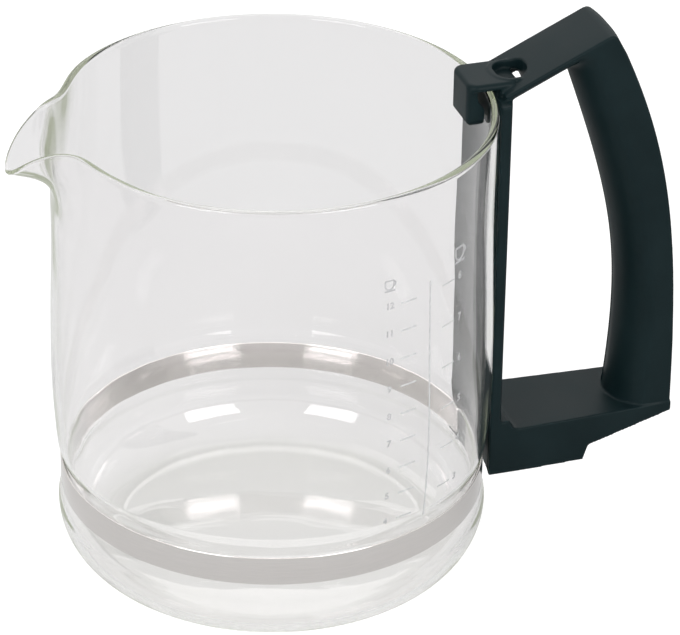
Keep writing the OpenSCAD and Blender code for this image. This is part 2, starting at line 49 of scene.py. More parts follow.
# Jug
JUG_H = 140.0
JUG_R = 62.1
BELLY_R = JUG_R + 0.95
BELLY_Z = 62.0
HEEL_R = JUG_R - 0.3
WAIST_R = JUG_R - 0.65
WALL = 2.0
CORNER_R = 17.0
CORNER_MID_R = HEEL_R - CORNER_R
RING_IN_R = CORNER_MID_R - 6.8
BASE_RISE = 0.8
BEAD_R = 1.1
SPOUT_REACH = 14.1
SPOUT_ANGLE = 11.0
SPOUT_DROP = 7.7
DROP_ANGLE = 6.5
SHOULDER_RISE = 2.4
SHOULDER_ANGLE = 15.0
SHOULDER_SPREAD = SPOUT_ANGLE * 0.7
CHEEK_DRAW = 1.4
CHEEK_ANGLE = 29.0
SPOUT_THIN = 0.65
THIN_ANGLE = 32.0
SEAM_Z = JUG_H - 28.0
LIP_START_Z = SEAM_Z + WALL / 2
BEAD_Z = JUG_H - BEAD_R
WALL_MID_R = JUG_R - WALL / 2
BEAD_MID_R = WALL_MID_R + 0.1 * BEAD_R
# Where the formed wall's control points lie: shares of the spout's reach and of the height.
LIP_BACK, LIP_BELOW, LIP_PLAIN_BELOW = 0.71, 0.22, 0.3
LIP_UPRIGHT, LIP_UPRIGHT_MORE = 0.33, 0.49
# The jug's mesh: columns crowd towards the spout, and points towards the groove.
COLUMN_PAIRS = 160
CROWDING = 1.5
BASE_POINTS = 21
CORNER_STEPS = 26
SIDE_POINTS = (17, 5, 17, 29)
LIP_POINTS = 25

# Clamp band and the groove it lies in
BAND_Z = 23.25
BAND_W = 8.55
BAND_T = 0.5
BAND_TOP_Z = BAND_Z + BAND_W
BAND_OUT_R = WAIST_R - 0.4
BAND_IN_R = BAND_OUT_R - BAND_T
GROOVE_GAP = 0.3 * BAND_T
GROOVE_R = BAND_IN_R - GROOVE_GAP
GROOVE_RAMP = 6.0
GROOVE_LOW_Z = BAND_Z - GROOVE_GAP
GROOVE_HIGH_Z = BAND_TOP_Z + GROOVE_GAP
WAIST_Z = BAND_TOP_Z + BAND_W / 8
EAR_W = 6.7
EAR_GAP = 4.2
LIP_W = 4.0
EAR_BEND = 0.9
EAR_NARROWS_FROM = 1.0
EAR_NARROWS_OVER = 2.5
EAR_ZONE = 3.0
EAR_ROOT_TURN = 0.7
BAND_ROUND = BAND_T * 0.4
BAND_STEPS = 300

# Handle
ARM_ANGLE = math.radians(25.2)
ARM_LEN = 35.6
ARM_T = 5.45
CREST_ROUND = 2.5
GRIP_REACH = 22.4
GRIP_ROOT_D = 16.2
THROAT_LEN = 21.0
THROAT_ROUND = 1.9
NOSE_LEAN = math.radians(19)
GRIP_TOP_HW = 10.8
GRIP_ROOT_HW = 12.2
NOSE_D = 8.0
NOSE_SHARE = 0.85
NOSE_POWER = 1.2
CROWN = 1.3
ARM_CROWN = 0.4
CROWN_POWER = 2.6
# The turn from arm to grip, as shares of it: straight, then round the crest, then down the back.
CREST_FROM, CREST_SPAN = 0.38, 0.32
BACK_FROM, BACK_SPAN = 0.7, 0.3
TURN_END = 0.085
GRIP_CROWDING = 0.77
ARM_POINTS = 13
TURN_POINTS = 33
GRIP_POINTS = 49
CROWN_POINTS = 25
NOSE_POINTS = 33
PLAN_POINTS = 41
STRAP_HW = 14.5
STRAP_T = 4.65
STRAP_EDGE_T = 3.1
STRAP_IN_R = BELLY_R + 0.3
STRAP_OUT_X = STRAP_IN_R + STRAP_T
STRAP_TOP_Z = JUG_H - 2.0
FOOT_TOP_Z = BAND_TOP_Z + 1.4
FOOT_LOW_Z = BAND_Z - 4.45
FOOT_STEP_LEN = 1.5
FOOT_STEP_H = 4.5
FOOT_END_T = 2.45
FOOT_END_HW = 12.4
FOOT_FILLET = 3.0
FOOT_FLANK_X = STRAP_IN_R + 8
BLANK_X = 0.9 * STRAP_IN_R
HOOK_GAP = 0.3
CAP_T = 2.0
CAP_HW = 8.0
CAP_ROUND = 3.2
CAP_EDGE = 1.3
TONGUE_CORNER_R = 3.0
CAP_LOW_Z = JUG_H + HOOK_GAP
CAP_TOP_Z = CAP_LOW_Z + CAP_T
CAP_IN_X = STRAP_IN_R - 8.95
CAP_BLANK_X = STRAP_OUT_X + 6
NECK_IN_X = STRAP_IN_R + STRAP_T / 14
NECK_LOW_Z = STRAP_TOP_Z - STRAP_T / 4
TONGUE_HW = 7.0
TONGUE_T = 3.0
TONGUE_TOE_R = 0.8 * TONGUE_T
TONGUE_LOW_Z = JUG_H - 11.0
TONGUE_OUT_R = JUG_R - WALL - HOOK_GAP
SOCKET_R = 4.5
SOCKET_HALF = 1.0
SOCKET_X = STRAP_IN_R + 5.6
SOCKET_FLOOR_Z = CAP_TOP_Z - 2.2
SOCKET_WALL = 1.4
SOCKET_LIFT = 0.3
DRAIN_X = SOCKET_X + 1.8
DRAIN_LEN = 2.7
DRAIN_HW = 5.4

# Clamp screw and its room in the foot
SCREW_R = 2.0
SCREW_LEN = 20.0
SCREW_Z = BAND_Z + 0.75
WASHER_T = 0.8
POCKET_IN_X = STRAP_OUT_X + STRAP_T / 3
SCREW_TIP_X = POCKET_IN_X + 2.25
HEAD_X = SCREW_TIP_X + SCREW_LEN
SEAT_X = HEAD_X - WASHER_T
SEAT_WALL_T = 4.0
FOOT_STEP_X = SEAT_X + 0.5
POCKET_OUT_X = SEAT_X - SEAT_WALL_T
POCKET_HW = 11.3
BLOCK_GAP = 0.4
BLOCK_TRAVEL = 5.0
BLOCK_OUT_X = POCKET_OUT_X - BLOCK_TRAVEL
POCKET_TOP_Z = BAND_Z + EAR_W + BLOCK_GAP
SHANK_HOLE_R = SCREW_R + 0.25
SEAT_R = 4.3

# Skin of the handle
VOXEL = 0.33
SOFTENING = 5

# Print
LINE_ANGLE = math.radians(-63.9)
PRINT_GAP = 0.05
PRINT_T = 0.1
NUMERAL_WEIGHT = 0.06
MARK_TOP_Z = 107.4
SMALL_PLACE = LINE_ANGLE + math.radians(-12.7)
SMALL_PITCH = 8.5
SMALL_SIZE = 2.7
SMALL_SIGN_SIZE = 3.8
SMALL_SIGN_Z = 113.9
LARGE_PLACE = LINE_ANGLE + math.radians(11.7)
LARGE_PITCH = 12.75
LARGE_SIZE = 3.0
LARGE_SIGN_SIZE = 5.4
LARGE_SIGN_Z = 114.3


def mix(a, b, t):
    return a + (b - a) * t


def ease(t):
    return 0.0 if t <= 0 else 1.0 if t >= 1 else (1 - math.cos(math.pi * t)) / 2


def flanked(v):
    """Turns a sine or cosine into that of an oval with flatter flanks."""
    return math.copysign(abs(v) ** NOSE_POWER, v)


def bell(a, w):
    return math.exp(-((a / w) ** 2))


def bezier(p, t):
    """Point at share t of a cubic curve with four control points."""
    s = 1 - t
    return s**3 * p[0] + 3 * t * s * s * p[1] + 3 * t * t * s * p[2] + t**3 * p[3]


def bend(a, b, c, t):
    """Point at share t of the round from a to c whose corner is b."""
    return (1 - t) ** 2 * a + 2 * t * (1 - t) * b + t * t * c


def spot(*values):
    return np.array(values, float)


def arc(middle, r, start, end, steps):
    """Points on a circle between two angles in degrees."""
    angles = np.radians(np.linspace(start, end, steps + 1))
    return [spot(middle[0] + r * math.cos(a), middle[1] + r * math.sin(a)) for a in angles]


# ---------------------------------------------------------------- meshes
def new_mesh(name, points, faces, smooth=True):
    """A mesh of points in millimetres, with its normals outwards."""
    mesh = bpy.data.meshes.new(name)
    mesh.from_pydata([tuple(p) for p in points], [], faces)
    work = bmesh.new()
    work.from_mesh(mesh)
    bmesh.ops.recalc_face_normals(work, faces=work.faces)
    if work.calc_volume(signed=True) < 0:
        bmesh.ops.reverse_faces(work, faces=work.faces)
    work.to_mesh(mesh)
    work.free()
    mesh.polygons.foreach_set("use_smooth", [smooth] * len(mesh.polygons))
    return mesh


def add_piece(name, mesh, material, replaced=()):
    """Puts a mesh in millimetres into the scene as a piece of the object, in metres."""
    mesh.transform(Matrix.Scale(MM, 4))
    mesh.materials.clear()
    mesh.materials.append(material)
    piece = bpy.data.objects.new(name, mesh)
    bpy.context.scene.collection.objects.link(piece)
    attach(piece, "root")
    for node in replaced:
        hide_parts(node)


def loft(sections):
    """Points and faces of a solid through sections with equal numbers of points."""
    size = len(sections[0])
    points = [p for section in sections for p in section]
    last = len(points) - size
    faces = []
    for a in range(0, last, size):
        b = a + size
        for j in range(size):
            k = (j + 1) % size
            faces.append((a + j, a + k, b + k, b + j))
    faces.append(tuple(range(size - 1, -1, -1)))
    faces.append(tuple(range(last, last + size)))
    return points, faces


def prism(outline, low, high, axis="z"):
    """A straight solid: its outline is (x, y) along z, (x, z) along y or (y, z) along x."""
    place = {
        "z": lambda p, h: (p[0], p[1], h),
        "y": lambda p, h: (p[0], h, p[1]),
        "x": lambda p, h: (h, p[0], p[1]),
    }[axis]
    return loft([[place(p, h) for p in outline] for h in (low, high)])


def rectangle(x0, x1, y0, y1):
    return [(x0, y0), (x1, y0), (x1, y1), (x0, y1)]


# ---------------------------------------------------------------- jug
def plain_r(z):
    """Radius of the wall's outer side without its groove."""
    if z < WAIST_Z:
        return mix(HEEL_R, WAIST_R, (z - CORNER_R) / (WAIST_Z - CORNER_R))
    if z < BELLY_Z:
        return mix(WAIST_R, BELLY_R, math.sin(math.pi / 2 * (z - WAIST_Z) / (BELLY_Z - WAIST_Z)))
    return mix(BELLY_R, JUG_R, ease((z - BELLY_Z) / (SEAM_Z - BELLY_Z)))


def outer_r(z):
    """Radius of the wall's outer side, drawn in behind the band over a ramp on either side."""
    into = ease((z - GROOVE_LOW_Z + GROOVE_RAMP) / GROOVE_RAMP)
    out = ease((GROOVE_HIGH_Z + GROOVE_RAMP - z) / GROOVE_RAMP)
    return mix(plain_r(z), GROOVE_R, min(into, out))


def body_side(shift):
    """Half outline of the blown body from its middle up, this far inside its outer side."""
    base = [
        (r, BASE_RISE * (1 - (r / RING_IN_R) ** 2) ** 2 + shift)
        for r in np.linspace(0, RING_IN_R, BASE_POINTS)
    ]
    corner = arc((CORNER_MID_R, CORNER_R), CORNER_R - shift, -90, 0, CORNER_STEPS)
    stops = (CORNER_R, GROOVE_LOW_Z, GROOVE_HIGH_Z, GROOVE_HIGH_Z + GROOVE_RAMP, LIP_START_Z)
    heights = np.concatenate([
        np.linspace(low, high, points)[1:]
        for low, high, points in zip(stops, stops[1:], SIDE_POINTS)
    ])[:-1]
    return base + [tuple(p) for p in corner] + [(outer_r(z) - shift, z) for z in heights]


def lip_curve(a):
    """Middle line of the formed wall at angle a, in degrees from the spout's middle."""
    share = bell(a, SPOUT_ANGLE)
    reach = SPOUT_REACH * share
    cheek = CHEEK_DRAW * bell(abs(a) - CHEEK_ANGLE, SPOUT_ANGLE)
    shoulder = SHOULDER_RISE * bell(abs(a) - SHOULDER_ANGLE, SHOULDER_SPREAD)
    bead = spot(BEAD_MID_R + reach - cheek, BEAD_Z + shoulder - SPOUT_DROP * bell(a, DROP_ANGLE))
    plain_below = LIP_PLAIN_BELOW * (BEAD_Z - LIP_START_Z) * (1 - share)
    upright = LIP_UPRIGHT + LIP_UPRIGHT_MORE * share
    return [
        spot(WALL_MID_R, LIP_START_Z),
        spot(WALL_MID_R, mix(LIP_START_Z, bead[1], upright)),
        bead - spot(LIP_BACK * reach, LIP_BELOW * reach + plain_below),
        bead,
    ]


def along(p, t):
    """Direction of a cubic curve at share t."""
    d = (1 - t) ** 2 * (p[1] - p[0]) + 2 * t * (1 - t) * (p[2] - p[1]) + t * t * (p[3] - p[2])
    return d / np.linalg.norm(d)


def across(d):
    """Direction d turned clockwise by a right angle."""
    return spot(d[1], -d[0])


def rim_section(a):
    """Outline of the formed wall from its outer foot over the bead to its inner foot."""
    p = lip_curve(a)
    thin = mix(1, SPOUT_THIN, bell(a, THIN_ANGLE))
    steps = np.linspace(0, 1, LIP_POINTS)[:-1]
    sides = [
        [bezier(p, t) + side * mix(1, thin, t) * WALL / 2 * across(along(p, t)) for t in steps]
        for side in (1, -1)
    ]
    d = along(p, 1)
    join = math.pi - math.asin(WALL / 2 / BEAD_R)
    bead = [
        p[3] + thin * BEAD_R * (math.cos(b) * d + math.sin(b) * across(d))
        for b in np.linspace(join, -join, LIP_POINTS)
    ]
    return sides[0] + bead + sides[1][::-1]


def jug_mesh():
    """The jug in columns of points, each from the base's underside over the rim to its inside."""
    outer, inner = body_side(0)[1:], body_side(WALL)[1:]
    turns = [i / COLUMN_PAIRS for i in range(-COLUMN_PAIRS, COLUMN_PAIRS)]
    angles = [180 * math.copysign(abs(u) ** CROWDING, u) for u in turns]
    columns = [outer + [tuple(q) for q in rim_section(a)] + inner[::-1] for a in angles]
    count, size = len(columns), len(columns[0])
    points = []
    for a, column in zip(np.radians(angles), columns):
        points += [(-r * math.cos(a), -r * math.sin(a), z) for r, z in column]
    low, high = len(points), len(points) + 1
    points += [(0, 0, BASE_RISE), (0, 0, BASE_RISE + WALL)]
    faces = []
    for i in range(count):
        a, b = i * size, (i + 1) % count * size
        faces += [(a + j, a + j + 1, b + j + 1, b + j) for j in range(size - 1)]
        faces += [(low, a, b), (high, b + size - 1, a + size - 1)]
    return new_mesh("jug", points, faces)


# ---------------------------------------------------------------- clamp band
def strip_section(width):
    """Outline of the strip with round edges: distances from its middle line, and heights."""
    side = BAND_T / 2 - BAND_ROUND
    low, high = BAND_Z + BAND_ROUND, BAND_Z + width - BAND_ROUND
    corners = ((side, high, 0), (-side, high, 90), (-side, low, 180), (side, low, 270))
    return [p for x, z, first in corners for p in arc((x, z), BAND_ROUND, first, first + 90, 3)]


def strip_corner(a, b, c):
    """Points that round the corner b between a and c."""
    a, b, c = spot(*a), spot(*b), spot(*c)
    p = b + EAR_BEND * (a - b) / np.linalg.norm(a - b)
    q = b + EAR_BEND * (c - b) / np.linalg.norm(c - b)
    return [bend(p, b, q, t) for t in np.linspace(0, 1, 9)]


def band_mesh():
    """The band as one bent strip, from the lip of one ear round the jug to the other."""
    mid_r = (BAND_OUT_R + BAND_IN_R) / 2
    y_ear = EAR_GAP + BAND_T / 2
    x_lip = BLOCK_OUT_X + BAND_T / 2
    x_start = math.sqrt(mid_r**2 - y_ear**2)
    start = math.degrees(math.asin(y_ear / mid_r)) + EAR_ROOT_TURN
    ring = arc((0, 0), mid_r, start, 360 - start, BAND_STEPS)
    lip = (x_lip, EAR_GAP + LIP_W)
    head = [spot(*lip)] + strip_corner(lip, (x_lip, y_ear), (x_start, y_ear))
    run = [mix(head[-1], spot(x_start + EAR_BEND, y_ear), t) for t in (0.35, 0.7, 0.9)]
    head += run + strip_corner(run[-1], (x_start, y_ear), ring[0])
    tail = [spot(p[0], -p[1]) for p in head[::-1]]
    path = head + ring[1:-1] + tail
    sections = []
    for i, p in enumerate(path):
        d = path[min(i + 1, len(path) - 1)] - path[max(i - 1, 0)]
        n = across(d / np.linalg.norm(d))
        by_ear = p[0] > 0 and abs(p[1]) < y_ear + EAR_ZONE
        way = (p[0] - x_start + EAR_NARROWS_FROM) / EAR_NARROWS_OVER
        outline = strip_section(mix(BAND_W, EAR_W, ease(way) if by_ear else 0))
        sections.append([(*(p + n * off), z) for off, z in outline])
    return new_mesh("band", *loft(sections))


# ---------------------------------------------------------------- handle
ARM_DIR = spot(math.cos(ARM_ANGLE), math.sin(ARM_ANGLE))
ARM_UNDER = ARM_T * spot(math.sin(ARM_ANGLE), -math.cos(ARM_ANGLE))
ARM_ROOT = spot(STRAP_IN_R + STRAP_T / 7, JUG_H - STRAP_T / 7)
CREST = ARM_ROOT + ARM_LEN * ARM_DIR
BACK_FOOT = spot(CREST[0] + GRIP_REACH, FOOT_TOP_Z)
THROAT = ARM_ROOT + ARM_UNDER + THROAT_LEN * ARM_DIR
NOSE_TOP = THROAT + THROAT_ROUND * spot(math.sin(NOSE_LEAN), -math.cos(NOSE_LEAN))
NOSE_FOOT = spot(BACK_FOOT[0] - GRIP_ROOT_D, FOOT_TOP_Z)
FOOT_END_X = BACK_FOOT[0] + 0.3


def fall(a, b, shares):
    """Control points between a and b, by shares of the reach and of the height above b."""
    return [spot(mix(a[0], b[0], x), mix(b[1], a[1], z)) for x, z in shares]


BACK_CURVE = [CREST] + fall(CREST, BACK_FOOT, ((0.8, 0.71), (1.01, 0.49))) + [BACK_FOOT]
NOSE_CURVE = [NOSE_TOP] + fall(NOSE_TOP, NOSE_FOOT, ((1.015, 0.57), (1.27, 0.41))) + [NOSE_FOOT]


def arm_and_grip():
    """Loft from the arm's root over the crest and down the grip, crowned on its outer side."""
    throat_start = THROAT - THROAT_ROUND * ARM_DIR
    arm_end = throat_start - ARM_UNDER
    crest_start = CREST - CREST_ROUND * ARM_DIR
    crest_end = CREST_ROUND / (3 * np.linalg.norm(BACK_CURVE[1] - CREST))
    back_start = bezier(BACK_CURVE, crest_end)

    def turn_outer(t):
        if t < CREST_FROM:
            return mix(arm_end, crest_start, t / CREST_FROM)
        if t < BACK_FROM:
            return bend(crest_start, CREST, back_start, (t - CREST_FROM) / CREST_SPAN)
        return bezier(BACK_CURVE, mix(crest_end, TURN_END, (t - BACK_FROM) / BACK_SPAN))

    # Each station is an outer point, an inner point, half a width and a crown.
    stations = []
    for t in np.linspace(0, 1, ARM_POINTS):
        outer = mix(ARM_ROOT, arm_end, t)
        stations.append((outer, outer + ARM_UNDER, GRIP_TOP_HW, ARM_CROWN * ease(t)))
    for t in np.linspace(0, 1, TURN_POINTS)[1:]:
        inner = bend(throat_start, THROAT, NOSE_TOP, t)
        stations.append((turn_outer(t), inner, GRIP_TOP_HW, mix(ARM_CROWN, CROWN, t**3)))
    for t in np.linspace(0, 1, GRIP_POINTS)[1:]:
        outer = bezier(BACK_CURVE, mix(TURN_END, 1, t**GRIP_CROWDING))
        half = mix(GRIP_TOP_HW, GRIP_ROOT_HW, t)
        stations.append((outer, bezier(NOSE_CURVE, t), half, CROWN))
    sink = spot(0, FOOT_END_T / 2)
    stations.append((BACK_FOOT - sink, NOSE_FOOT - sink, GRIP_ROOT_HW, CROWN))
    crown_ys = np.linspace(-1, 1, CROWN_POINTS)
    nose_angles = np.linspace(math.pi / 2, -math.pi / 2, NOSE_POINTS)
    sections = []
    for outer, inner, half, crown in stations:
        depth = np.linalg.norm(inner - outer)
        inwards = (inner - outer) / depth
        nose = min(NOSE_D, NOSE_SHARE * depth)
        line = [(crown * (abs(y) ** CROWN_POWER - 1), y * half) for y in crown_ys]
        line += [
            (depth - nose + nose * flanked(math.cos(a)), half * flanked(math.sin(a)))
            for a in nose_angles
        ]
        sections.append([
            (outer[0] + d * inwards[0], y, outer[1] + d * inwards[1]) for d, y in line
        ])
    return loft(sections)


def strap():
    sag = STRAP_OUT_X - math.sqrt(STRAP_IN_R**2 - STRAP_HW**2) - STRAP_EDGE_T
    back_r = (STRAP_HW**2 + sag**2) / (2 * sag)
    ys = np.linspace(-STRAP_HW, STRAP_HW, PLAN_POINTS)
    outer = [(STRAP_OUT_X - back_r + math.sqrt(back_r**2 - y * y), y) for y in ys]
    inner = [(math.sqrt(STRAP_IN_R**2 - y * y), y) for y in ys[::-1]]
    return prism(outer + inner, (FOOT_TOP_Z + FOOT_LOW_Z) / 2, STRAP_TOP_Z)


def foot_side():
    end_x = FOOT_END_X + CROWN
    fillet_middle = (STRAP_OUT_X + FOOT_FILLET, FOOT_TOP_Z + FOOT_FILLET)
    outline = [
        (BLANK_X, FOOT_LOW_Z),
        (FOOT_STEP_X, FOOT_LOW_Z),
        (FOOT_STEP_X + FOOT_STEP_LEN, FOOT_LOW_Z + FOOT_STEP_H),
        (end_x, FOOT_TOP_Z - FOOT_END_T),
        (end_x, FOOT_TOP_Z),
    ]
    outline += [tuple(p) for p in arc(fillet_middle, FOOT_FILLET, 270, 180, 16)]
    outline += [(BLANK_X, FOOT_TOP_Z + FOOT_FILLET)]
    return prism(outline, -STRAP_HW - OVER, STRAP_HW + OVER, "y")


def foot_plan():
    crown_r = (FOOT_END_HW**2 + CROWN**2) / (2 * CROWN)
    crown_middle = (FOOT_END_X + CROWN - crown_r, 0)
    turn = math.degrees(math.asin(FOOT_END_HW / crown_r))
    ys = np.linspace(STRAP_HW, -STRAP_HW, PLAN_POINTS)
    outline = [(math.sqrt(STRAP_IN_R**2 - y * y), y) for y in ys]
    outline += [(FOOT_FLANK_X, -STRAP_HW)]
    outline += [tuple(p) for p in arc(crown_middle, crown_r, -turn, turn, 24)]
    outline += [(FOOT_FLANK_X, STRAP_HW)]
    return prism(outline, FOOT_LOW_Z - OVER, FOOT_TOP_Z + FOOT_FILLET + OVER)


def rounded_outline(x0, x1, half, r):
    y = half - r
    corners = (((x1 - r, y), 0), ((x0 + r, y), 90), ((x0 + r, -y), 180), ((x1 - r, -y), 270))
    return [tuple(p) for middle, first in corners for p in arc(middle, r, first, first + 90, 8)]


def cap_shell():
    """Soft-edged block that holds all of the hook: upright corners and top edge are rounded."""
    layers = [(0, TONGUE_LOW_Z - OVER)]
    for turn in np.radians(np.linspace(0, 90, 9)):
        z = CAP_TOP_Z - CAP_EDGE + CAP_EDGE * math.sin(turn)
        layers.append((CAP_EDGE * (1 - math.cos(turn)), z))
    sections = []
    for inset, z in layers:
        x0, x1 = CAP_IN_X + inset, CAP_BLANK_X - inset
        outline = rounded_outline(x0, x1, CAP_HW - inset, CAP_ROUND - inset)
        sections.append([(x, y, z) for x, y in outline])
    return loft(sections)


def cap_slab():
    return prism(rectangle(CAP_IN_X, STRAP_OUT_X, -CAP_HW, CAP_HW), CAP_LOW_Z, CAP_TOP_Z)


def neck():
    outline = rectangle(NECK_IN_X, STRAP_OUT_X, -CAP_HW, CAP_HW)
    return prism(outline, NECK_LOW_Z, CAP_LOW_Z + CAP_T / 2)


def tongue():
    r = TONGUE_TOE_R
    top_z = CAP_LOW_Z + CAP_T / 2
    outline = [(CAP_IN_X + TONGUE_T, top_z), (CAP_IN_X, top_z)]
    outline += [tuple(p) for p in arc((CAP_IN_X + r, TONGUE_LOW_Z + r), r, 180, 270, 10)]
    outline += [
        (TONGUE_OUT_R + OVER, TONGUE_LOW_Z + r / 2),
        (TONGUE_OUT_R + OVER, TONGUE_LOW_Z + r),
        (CAP_IN_X + TONGUE_T, CAP_LOW_Z - TONGUE_T),
    ]
    return prism(outline, -TONGUE_HW, TONGUE_HW, "y")


def tongue_limit():
    """Round block that fits inside the jug's wall."""
    return prism(arc((0, 0), TONGUE_OUT_R, 0, 360, 240)[:-1], TONGUE_LOW_Z - OVER, CAP_TOP_Z)


def tongue_front():
    """Block with the tongue's outline seen from the jug's middle, with round lower corners."""
    r = TONGUE_CORNER_R
    outline = [(-TONGUE_HW, CAP_TOP_Z)]
    outline += arc((r - TONGUE_HW, TONGUE_LOW_Z + r), r, 180, 270, 10)
    outline += arc((TONGUE_HW - r, TONGUE_LOW_Z + r), r, 270, 360, 10)
    outline += [(TONGUE_HW, CAP_TOP_Z)]
    return prism(outline, CAP_IN_X - OVER, STRAP_IN_R, "x")


def oval(r):
    return [
        tuple(p)
        for side, first in ((1, 0), (-1, 180))
        for p in arc((SOCKET_X, side * SOCKET_HALF), r, first, first + 180, 24)
    ]


def collar():
    return prism(oval(SOCKET_R + SOCKET_WALL), CAP_LOW_Z + CAP_T / 2, CAP_TOP_Z + SOCKET_LIFT)


def screw_bore(r, low, high):
    return prism(arc((0, SCREW_Z), r, 0, 360, 40)[:-1], low, high, "x")


def evaluated(item):
    graph = bpy.context.evaluated_depsgraph_get()
    return bpy.data.meshes.new_from_object(item.evaluated_get(graph))


def scratch_object(data):
    item = bpy.data.objects.new("scratch", data)
    bpy.context.scene.collection.objects.link(item)
    return item


def combine(first, *changes):
    """Joins, cuts or intersects solids in turn; each change is an operation and a solid."""

    def solid_object(solid):
        ready = isinstance(solid, bpy.types.Mesh)
        return scratch_object(solid if ready else new_mesh("scratch", *solid))

    body = solid_object(first)
    others = []
    for operation, solid in changes:
        step = body.modifiers.new("step", "BOOLEAN")
        step.operation = operation
        step.solver = "EXACT"
        step.object = solid_object(solid)
        step.object.hide_render = True
        others.append(step.object)
    mesh = evaluated(body)
    for item in [body] + others:
        bpy.data.objects.remove(item)
    return mesh


def softened(mesh, voxel, rounds):
    """The same solid as one skin with small rounded edges, as a moulding tool leaves them."""
    item = scratch_object(mesh)
    skin = item.modifiers.new("skin", "REMESH")
    skin.mode = "VOXEL"
    skin.voxel_size = voxel
    skin.use_smooth_shade = True
    edges = item.modifiers.new("edges", "SMOOTH")
    edges.factor = 0.5
    edges.iterations = rounds
    result = evaluated(item)
    bpy.data.objects.remove(item)
    return result


def handle_cuts():
    """Socket and slot in the cap, and the room in the foot for block, ears, shank and head."""
    slot_half = EAR_GAP + BAND_T + BLOCK_GAP
    drain = rectangle(DRAIN_X, DRAIN_X + DRAIN_LEN, -DRAIN_HW, DRAIN_HW)
    pocket = rectangle(POCKET_IN_X, POCKET_OUT_X, -POCKET_HW, POCKET_HW)
    ear_slot = rectangle(BLANK_X, POCKET_IN_X + OVER, -slot_half, slot_half)
    return [
        prism(oval(SOCKET_R), SOCKET_FLOOR_Z, CAP_TOP_Z + 4 * OVER),
        prism(drain, SOCKET_FLOOR_Z - ARM_T, SOCKET_FLOOR_Z + CUT_OVERLAP),
        prism(pocket, FOOT_LOW_Z - OVER, POCKET_TOP_Z),
        prism(ear_slot, BAND_Z - BLOCK_GAP, BAND_Z + EAR_W + BLOCK_GAP),
        screw_bore(SHANK_HOLE_R, POCKET_OUT_X - OVER, SEAT_X + OVER),
        screw_bore(SEAT_R, SEAT_X, FOOT_END_X + 2 * OVER),
    ]


def handle_mesh():
    foot = combine(foot_side(), ("INTERSECT", foot_plan()))
    inner_hook = combine(tongue(), ("INTERSECT", tongue_limit()), ("INTERSECT", tongue_front()))
    hook = combine(cap_slab(), ("UNION", inner_hook), ("INTERSECT", cap_shell()))
    added = (strap(), foot, hook, neck(), collar())
    whole = combine(
        arm_and_grip(),
        *[("UNION", solid) for solid in added],
        *[("DIFFERENCE", cut) for cut in handle_cuts()],
    )
    return softened(whole, VOXEL, SOFTENING)


# ---------------------------------------------------------------- print
def wrapped(mesh, angle, z):
    """Bends a flat mesh, x along the wall and y up, on to the jug at an angle and height."""
    for v in mesh.vertices:
        height = z + v.co.y
        r = plain_r(height) + PRINT_GAP + PRINT_T / 2 + v.co.z
        turn = angle + v.co.x / JUG_R
        v.co = (r * math.cos(turn), r * math.sin(turn), height)


def numeral_mesh(text, size, angle, z):
    curve = bpy.data.curves.new("numeral", "FONT")
    curve.body = text
    curve.size = size
    curve.align_x = "CENTER"
    curve.align_y = "CENTER"
    curve.extrude = PRINT_T / 2
    curve.offset = NUMERAL_WEIGHT
    curve.resolution_u = 6
    item = scratch_object(curve)
    mesh = evaluated(item)
    bpy.data.objects.remove(item)
    wrapped(mesh, angle, z)
    return mesh


def stroke(points, width):
    """Flat ribbon of a width along points, as points and faces of a thin solid."""
    points = [spot(*p) for p in points]
    t = PRINT_T / 2
    sections = []
    for i, p in enumerate(points):
        d = points[min(i + 1, len(points) - 1)] - points[max(i - 1, 0)]
        n = across(d / np.linalg.norm(d)) * width / 2
        sections.append([(*(p + n), -t), (*(p + n), t), (*(p - n), t), (*(p - n), -t)])
    return loft(sections)


def cup_icon(size, angle, z):
    """A plain cup over its saucer, drawn in strokes."""
    brim_left, brim_right = (-0.42 * size, 0.36 * size), (0.28 * size, 0.36 * size)
    bowl = arc((-0.07 * size, 0.0), 0.35 * size, 180, 360, 16)
    ear = arc((0.28 * size, 0.1 * size), 0.17 * size, 80, -95, 10)
    saucer = [(-0.45 * size, -0.46 * size), (0.4 * size, -0.46 * size)]
    points, faces = [], []
    for line in ([brim_left, *bowl, brim_right, brim_left], ear, saucer):
        p, f = stroke(line, 0.11 * size)
        faces += [tuple(len(points) + k for k in face) for face in f]
        points += p
    mesh = new_mesh("icon", points, faces, smooth=False)
    wrapped(mesh, angle, z)
    return mesh


def scale_numbers(most, fewest, size, place, pitch):
    """The numbers of one scale as one mesh, from its top mark down."""
    work = bmesh.new()
    for cups in range(most, fewest - 1, -1):
        height = MARK_TOP_Z - pitch * (most - cups)
        work.from_mesh(numeral_mesh(str(cups), size, place, height))
    mesh = bpy.data.meshes.new("numbers")
    work.to_mesh(mesh)
    work.free()
    return mesh


# ---------------------------------------------------------------- materials
NOISE_RANGE = (0.35, 0.65)
GLASS_IOR = 1.474
# Past this many bounces, light is let out where the wall's surface reflects more than this share.
HELD_BOUNCES = 3.5
HELD_SHARE = 0.99


def material(name):
    m = bpy.data.materials.new(name)
    m.use_nodes = True
    tree = m.node_tree
    tree.nodes.clear()
    out = tree.nodes.new("ShaderNodeOutputMaterial")
    return m, tree, out


def node(tree, kind, inputs=(), **settings):
    n = tree.nodes.new("ShaderNode" + kind)
    for key, value in settings.items():
        setattr(n, key, value)
    for key, value in dict(inputs).items():
        if isinstance(value, bpy.types.NodeSocket):
            tree.links.new(value, n.inputs[key])
        else:
            n.inputs[key].default_value = value
    return n


